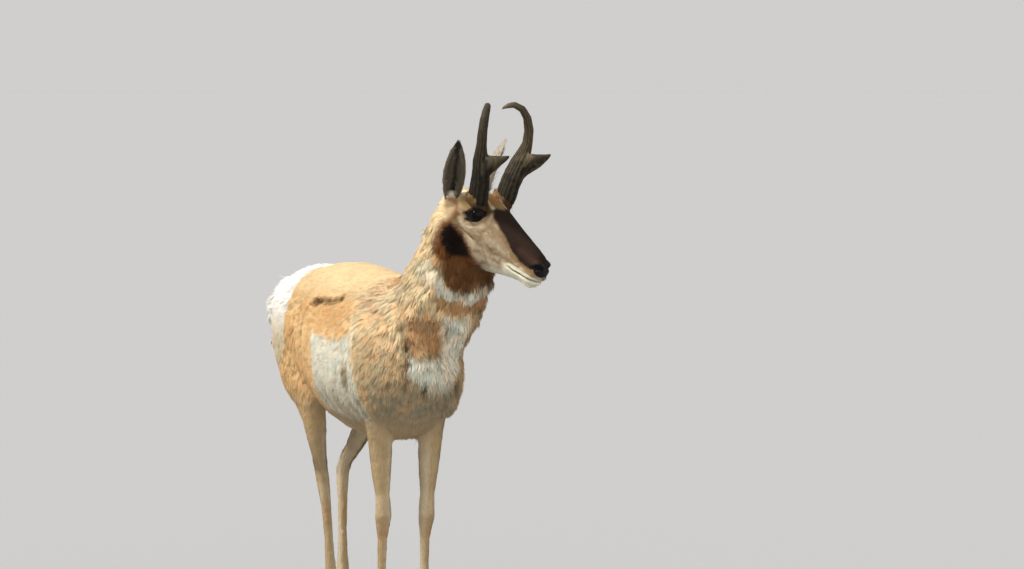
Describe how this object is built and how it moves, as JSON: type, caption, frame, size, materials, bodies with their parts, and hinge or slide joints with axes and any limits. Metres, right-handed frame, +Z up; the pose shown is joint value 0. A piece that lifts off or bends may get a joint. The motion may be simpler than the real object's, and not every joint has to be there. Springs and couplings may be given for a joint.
{
  "type": "pronghorn",
  "caption": "Life-size standing pronghorn buck with its head turned to its left, forked black horns, upright ears and a pale rump.",
  "frame": {"origin": "on the floor, under the middle of the whole bounding box", "axes": "+X the way the animal faces, +Y its left side, +Z up"},
  "size_m": [1.2112, 0.4442, 1.3296],
  "materials": {
    "coat": "short dense tan hair with white, brown and black markings",
    "pale_coat": "dense pale hair",
    "horn": "ridged black-brown horn sheath",
    "hoof": "black hoof horn, slightly polished",
    "eye": "wet, very dark eye"
  },
  "bodies": {
    "root": {"ear_left": "coat", "ear_right": "coat", "eye_left": "eye", "eye_right": "eye", "foreleg_lower_left": "coat", "foreleg_lower_right": "coat", "foreleg_upper_left": "coat", "foreleg_upper_right": "coat", "head": "coat", "hindleg_lower_left": "coat", "hindleg_lower_right": "coat", "hindleg_upper_left": "coat", "hindleg_upper_right": "coat", "hoof_fore_left_inner": "hoof", "hoof_fore_left_outer": "hoof", "hoof_fore_right_inner": "hoof", "hoof_fore_right_outer": "hoof", "hoof_hind_left_inner": "hoof", "hoof_hind_left_outer": "hoof", "hoof_hind_right_inner": "hoof", "hoof_hind_right_outer": "hoof", "horn_left": "horn", "horn_right": "horn", "neck": "coat", "tail": "pale_coat", "torso": "coat"}
  },
  "joints": []
}
